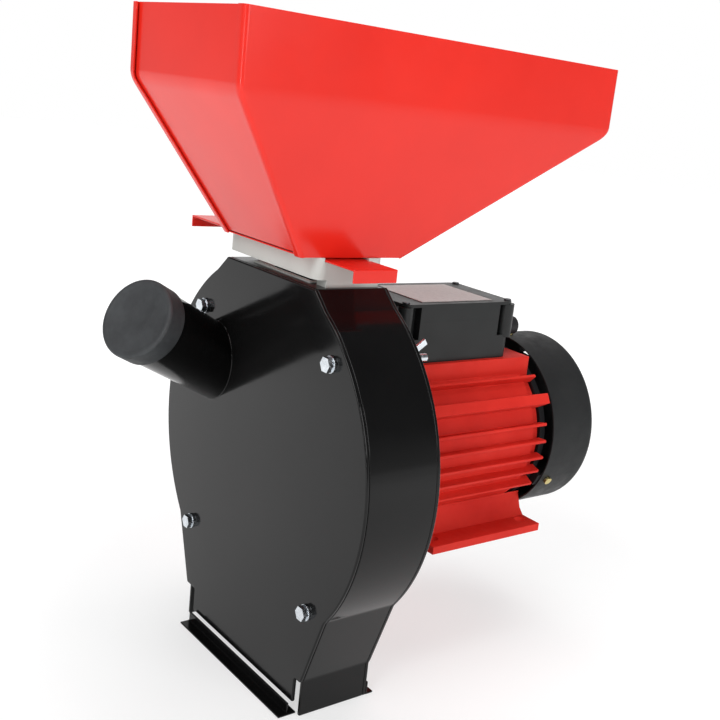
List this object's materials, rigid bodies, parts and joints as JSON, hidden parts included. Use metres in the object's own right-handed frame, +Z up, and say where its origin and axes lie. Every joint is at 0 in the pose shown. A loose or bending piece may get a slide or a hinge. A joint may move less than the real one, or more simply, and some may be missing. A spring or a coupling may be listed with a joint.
{
  "type": "hammer mill",
  "caption": "Foot-mounted motor driving a round bolted mill drum with swinging hammers, a top grain hopper with a slide gate, a capped cob tube and a bottom spout.",
  "frame": {"origin": "middle of the four foot holes, on the underside of the motor feet", "axes": "+Z up, +Y along the shaft from the drum's cover to the fan, +X to the right seen from the cover"},
  "size_m": [0.292, 0.3996, 0.495],
  "materials": {
    "black_paint": "gloss",
    "tube_paint": "gloss",
    "black_rubber": "matt",
    "grey_plastic": "satin",
    "red_paint": "gloss",
    "red_casting": "satin",
    "black_casting": "satin",
    "cowl_paint": "satin",
    "zinc": "bright zinc plate",
    "yellow_zinc": "yellow zinc plate",
    "bare_steel": "machined",
    "hammer_steel": "hardened, dull",
    "spring_steel": "blackened",
    "bearing_steel": "ground",
    "core_steel": "laminated",
    "copper": "varnished copper wire",
    "box_plastic": "fine grain",
    "fan_plastic": "matt",
    "white_plastic": "gloss",
    "plate_aluminium": "satin, blank"
  },
  "bodies": {
    "mill_body": {"drum_shell": "black_paint", "drum_back_plate": "black_paint", "front_cover": "black_paint", "cover_pillars": "black_paint", "cover_bolts": "zinc", "cover_washers": "zinc", "cover_wing_nuts": "zinc", "spout_flanges": "black_paint", "cob_tube": "tube_paint", "inlet_neck": "grey_plastic", "neck_screws": "zinc", "hopper_right_panel": "red_paint", "hopper_left_panel": "red_paint", "hopper_front_panel": "red_paint", "hopper_rear_panel": "red_paint", "hopper_screws": "zinc", "sieve": "bare_steel", "sieve_holders": "black_paint", "drum_bolts": "zinc", "shaft_seal": "black_rubber", "front_end_shield": "red_casting", "motor_frame": "red_casting", "motor_feet": "red_casting", "rear_end_shield": "black_casting", "front_bearing_outer": "bearing_steel", "rear_bearing_outer": "bearing_steel", "stator_core": "core_steel", "stator_windings": "copper", "fan_cowl": "cowl_paint", "cowl_screws": "yellow_zinc", "terminal_box": "box_plastic", "box_lid": "box_plastic", "lid_screws": "spring_steel", "name_plate": "plate_aluminium", "capacitors": "white_plastic", "cable_gland": "fan_plastic"},
    "rotor": {"rotor_hub": "bare_steel", "rotor_front_disc": "bare_steel", "rotor_rear_disc": "bare_steel", "hammer_pins": "bare_steel", "hammer_spacers": "bare_steel", "pin_clips": "spring_steel", "shaft": "bare_steel", "shaft_key": "bare_steel", "shaft_nut": "zinc", "front_bearing_inner": "bearing_steel", "rear_bearing_inner": "bearing_steel", "motor_rotor_core": "core_steel", "cooling_fan": "fan_plastic"},
    "hammer_1": {"hammer_1": "hammer_steel"},
    "hammer_2": {"hammer_2": "hammer_steel"},
    "hammer_3": {"hammer_3": "hammer_steel"},
    "hammer_4": {"hammer_4": "hammer_steel"},
    "hammer_5": {"hammer_5": "hammer_steel"},
    "hammer_6": {"hammer_6": "hammer_steel"},
    "hammer_7": {"hammer_7": "hammer_steel"},
    "hammer_8": {"hammer_8": "hammer_steel"},
    "feed_gate": {"feed_gate": "red_paint"},
    "tube_cap": {"tube_cap": "black_rubber"}
  },
  "joints": [
    {"name": "rotor_spin", "type": "hinge", "parent": "mill_body", "child": "rotor", "pos_m": [0, -0.158, 0.08], "axis": [0, 1, 0], "continuous": true},
    {"name": "hammer_1_swing", "type": "hinge", "parent": "rotor", "child": "hammer_1", "pos_m": [0.04525, -0.1665, 0.12526], "axis": [0, -1, 0], "range_deg": [-13, 283]},
    {"name": "hammer_2_swing", "type": "hinge", "parent": "rotor", "child": "hammer_2", "pos_m": [0.04525, -0.1505, 0.12526], "axis": [0, -1, 0], "range_deg": [-13, 283]},
    {"name": "hammer_3_swing", "type": "hinge", "parent": "rotor", "child": "hammer_3", "pos_m": [-0.04525, -0.1595, 0.12526], "axis": [0, -1, 0], "range_deg": [-283, 13]},
    {"name": "hammer_4_swing", "type": "hinge", "parent": "rotor", "child": "hammer_4", "pos_m": [-0.04525, -0.1435, 0.12526], "axis": [0, -1, 0], "range_deg": [-283, 13]},
    {"name": "hammer_5_swing", "type": "hinge", "parent": "rotor", "child": "hammer_5", "pos_m": [-0.04525, -0.1665, 0.03474], "axis": [0, -1, 0], "range_deg": [-193, 103]},
    {"name": "hammer_6_swing", "type": "hinge", "parent": "rotor", "child": "hammer_6", "pos_m": [-0.04525, -0.1505, 0.03474], "axis": [0, -1, 0], "range_deg": [-193, 103]},
    {"name": "hammer_7_swing", "type": "hinge", "parent": "rotor", "child": "hammer_7", "pos_m": [0.04525, -0.1595, 0.03474], "axis": [0, -1, 0], "range_deg": [-103, 193]},
    {"name": "hammer_8_swing", "type": "hinge", "parent": "rotor", "child": "hammer_8", "pos_m": [0.04525, -0.1435, 0.03474], "axis": [0, -1, 0], "range_deg": [-103, 193]},
    {"name": "feed_gate_slide", "type": "slide", "parent": "mill_body", "child": "feed_gate", "axis": [1, 0, 0], "range_m": [-0.03, 0.0742]},
    {"name": "tube_cap_pull", "type": "slide", "parent": "mill_body", "child": "tube_cap", "axis": [0.3153, -0.83, 0.4602], "range_m": [0, 0.06]}
  ]
}
